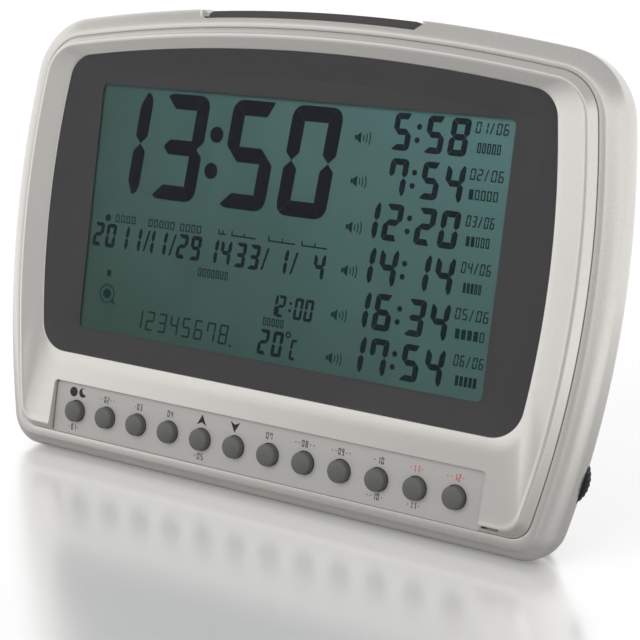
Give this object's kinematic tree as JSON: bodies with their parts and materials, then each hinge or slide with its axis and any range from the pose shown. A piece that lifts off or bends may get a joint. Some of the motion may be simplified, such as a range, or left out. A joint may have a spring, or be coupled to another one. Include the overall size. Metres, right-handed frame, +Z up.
{
  "type": "digital alarm clock",
  "caption": "Free-standing digital alarm clock: silver case leaning on a fold-out leg, wide dark-framed display, a row of round keys, a snooze bar on top and a volume wheel at the side.",
  "frame": {"origin": "on the ground under the middle of the whole clock, stand included", "axes": "+X to the right seen from the front, +Y from the display towards the back, +Z up; the case leans back 12 degrees"},
  "size_m": [0.2192, 0.0742, 0.1469],
  "materials": {
    "panel_paint": "satin silver paint on plastic",
    "housing_paint": "satin silver paint on plastic",
    "cover_plastic": "fine grain, moulded silver grey",
    "window_clear": "clear, polished",
    "mask_print": "flat dark grey print",
    "strip_plastic": "satin grey",
    "key_plastic": "satin dark grey",
    "mat_rubber": "soft",
    "board_laminate": "green solder mask",
    "ribbon_film": "smooth",
    "foam_black": "open foam",
    "polariser_film": "smooth, grey green",
    "display_glass": "polished",
    "guide_clear": "clear",
    "holder_white": "smooth white",
    "strip_rubber": "layered, pink",
    "lamp_body": "clear, pale",
    "epoxy_black": "cast, glossy",
    "chip_black": "moulded",
    "can_steel": "plain",
    "capacitor_sleeve": "shrink sleeve",
    "sensor_bead": "dipped",
    "bar_plastic": "fine grain",
    "spring_steel": "bright wire",
    "wheel_plastic": "moulded",
    "control_body": "plain",
    "magnet_ferrite": "ground",
    "cone_paper": "pressed",
    "screw_steel": "zinc plated",
    "cell_jacket": "plain wrapper",
    "contact_nickel": "nickel plated",
    "rubber_black": "plain",
    "lead_red": "insulated",
    "lead_black": "insulated"
  },
  "bodies": {
    "case": {"front_panel": "panel_paint", "window_lens": "window_clear", "window_mask": "mask_print", "key_strip": "strip_plastic", "key_mat": "mat_rubber", "key_board": "board_laminate", "key_ribbon": "ribbon_film", "front_housing": "housing_paint", "display_gasket": "foam_black", "front_polariser": "polariser_film", "front_glass": "display_glass", "rear_glass": "display_glass", "rear_polariser": "polariser_film", "light_guide": "guide_clear", "display_holder": "holder_white", "contact_strips": "strip_rubber", "backlight_lamps": "lamp_body", "main_board": "board_laminate", "processor": "epoxy_black", "board_chips": "chip_black", "quartz_crystal": "can_steel", "capacitors": "capacitor_sleeve", "heat_sensor": "sensor_bead", "snooze_board": "board_laminate", "snooze_switch": "chip_black", "snooze_springs": "spring_steel", "volume_control": "control_body", "back_cover": "cover_plastic", "speaker_frame": "can_steel", "speaker_magnet": "magnet_ferrite", "speaker_cone": "cone_paper", "speaker_screws": "screw_steel", "cell_left": "cell_jacket", "cell_middle": "cell_jacket", "cell_right": "cell_jacket", "contact_springs": "spring_steel", "contact_plates": "contact_nickel", "stand_pin": "spring_steel", "rubber_feet": "rubber_black", "case_screws": "screw_steel", "board_screws": "screw_steel", "speaker_leads": "lead_red", "battery_leads": "lead_black"},
    "key_1": {"key_cap_1": "key_plastic"},
    "key_2": {"key_cap_2": "key_plastic"},
    "key_3": {"key_cap_3": "key_plastic"},
    "key_4": {"key_cap_4": "key_plastic"},
    "key_5": {"key_cap_5": "key_plastic"},
    "key_6": {"key_cap_6": "key_plastic"},
    "key_7": {"key_cap_7": "key_plastic"},
    "key_8": {"key_cap_8": "key_plastic"},
    "key_9": {"key_cap_9": "key_plastic"},
    "key_10": {"key_cap_10": "key_plastic"},
    "key_11": {"key_cap_11": "key_plastic"},
    "key_12": {"key_cap_12": "key_plastic"},
    "snooze": {"snooze_bar": "bar_plastic"},
    "volume": {"volume_wheel": "wheel_plastic"},
    "stand": {"stand_leg": "cover_plastic", "stand_tip": "rubber_black"},
    "door": {"battery_door": "cover_plastic"}
  },
  "joints": [
    {"name": "key_1_press", "type": "slide", "parent": "case", "child": "key_1", "axis": [0, 0.9781, -0.2079], "range_m": [0, 0.0008], "stiffness_N_per_m": 600, "springref_m": -0.0005, "deforming": ["key_mat"]},
    {"name": "key_2_press", "type": "slide", "parent": "case", "child": "key_2", "axis": [0, 0.9781, -0.2079], "range_m": [0, 0.0008], "stiffness_N_per_m": 600, "springref_m": -0.0005, "deforming": ["key_mat"]},
    {"name": "key_3_press", "type": "slide", "parent": "case", "child": "key_3", "axis": [0, 0.9781, -0.2079], "range_m": [0, 0.0008], "stiffness_N_per_m": 600, "springref_m": -0.0005, "deforming": ["key_mat"]},
    {"name": "key_4_press", "type": "slide", "parent": "case", "child": "key_4", "axis": [0, 0.9781, -0.2079], "range_m": [0, 0.0008], "stiffness_N_per_m": 600, "springref_m": -0.0005, "deforming": ["key_mat"]},
    {"name": "key_5_press", "type": "slide", "parent": "case", "child": "key_5", "axis": [0, 0.9781, -0.2079], "range_m": [0, 0.0008], "stiffness_N_per_m": 600, "springref_m": -0.0005, "deforming": ["key_mat"]},
    {"name": "key_6_press", "type": "slide", "parent": "case", "child": "key_6", "axis": [0, 0.9781, -0.2079], "range_m": [0, 0.0008], "stiffness_N_per_m": 600, "springref_m": -0.0005, "deforming": ["key_mat"]},
    {"name": "key_7_press", "type": "slide", "parent": "case", "child": "key_7", "axis": [0, 0.9781, -0.2079], "range_m": [0, 0.0008], "stiffness_N_per_m": 600, "springref_m": -0.0005, "deforming": ["key_mat"]},
    {"name": "key_8_press", "type": "slide", "parent": "case", "child": "key_8", "axis": [0, 0.9781, -0.2079], "range_m": [0, 0.0008], "stiffness_N_per_m": 600, "springref_m": -0.0005, "deforming": ["key_mat"]},
    {"name": "key_9_press", "type": "slide", "parent": "case", "child": "key_9", "axis": [0, 0.9781, -0.2079], "range_m": [0, 0.0008], "stiffness_N_per_m": 600, "springref_m": -0.0005, "deforming": ["key_mat"]},
    {"name": "key_10_press", "type": "slide", "parent": "case", "child": "key_10", "axis": [0, 0.9781, -0.2079], "range_m": [0, 0.0008], "stiffness_N_per_m": 600, "springref_m": -0.0005, "deforming": ["key_mat"]},
    {"name": "key_11_press", "type": "slide", "parent": "case", "child": "key_11", "axis": [0, 0.9781, -0.2079], "range_m": [0, 0.0008], "stiffness_N_per_m": 600, "springref_m": -0.0005, "deforming": ["key_mat"]},
    {"name": "key_12_press", "type": "slide", "parent": "case", "child": "key_12", "axis": [0, 0.9781, -0.2079], "range_m": [0, 0.0008], "stiffness_N_per_m": 600, "springref_m": -0.0005, "deforming": ["key_mat"]},
    {"name": "snooze_press", "type": "slide", "parent": "case", "child": "snooze", "axis": [0, -0.2079, -0.9781], "range_m": [0, 0.0012], "stiffness_N_per_m": 800, "springref_m": -0.0008, "deforming": ["snooze_springs"]},
    {"name": "volume_turn", "type": "hinge", "parent": "case", "child": "volume", "pos_m": [0.0959, -0.01936, 0.02455], "axis": [0, 0.9781, -0.2079], "range_deg": [-140, 140]},
    {"name": "stand_fold", "type": "hinge", "parent": "case", "child": "stand", "pos_m": [0, 0.01135, 0.05983], "axis": [1, 0, 0], "range_deg": [-33.8, 0]},
    {"name": "door_open", "type": "hinge", "parent": "case", "child": "door", "pos_m": [0.054, 0.00703, 0.03565], "axis": [1, 0, 0], "range_deg": [-95, 0]}
  ]
}
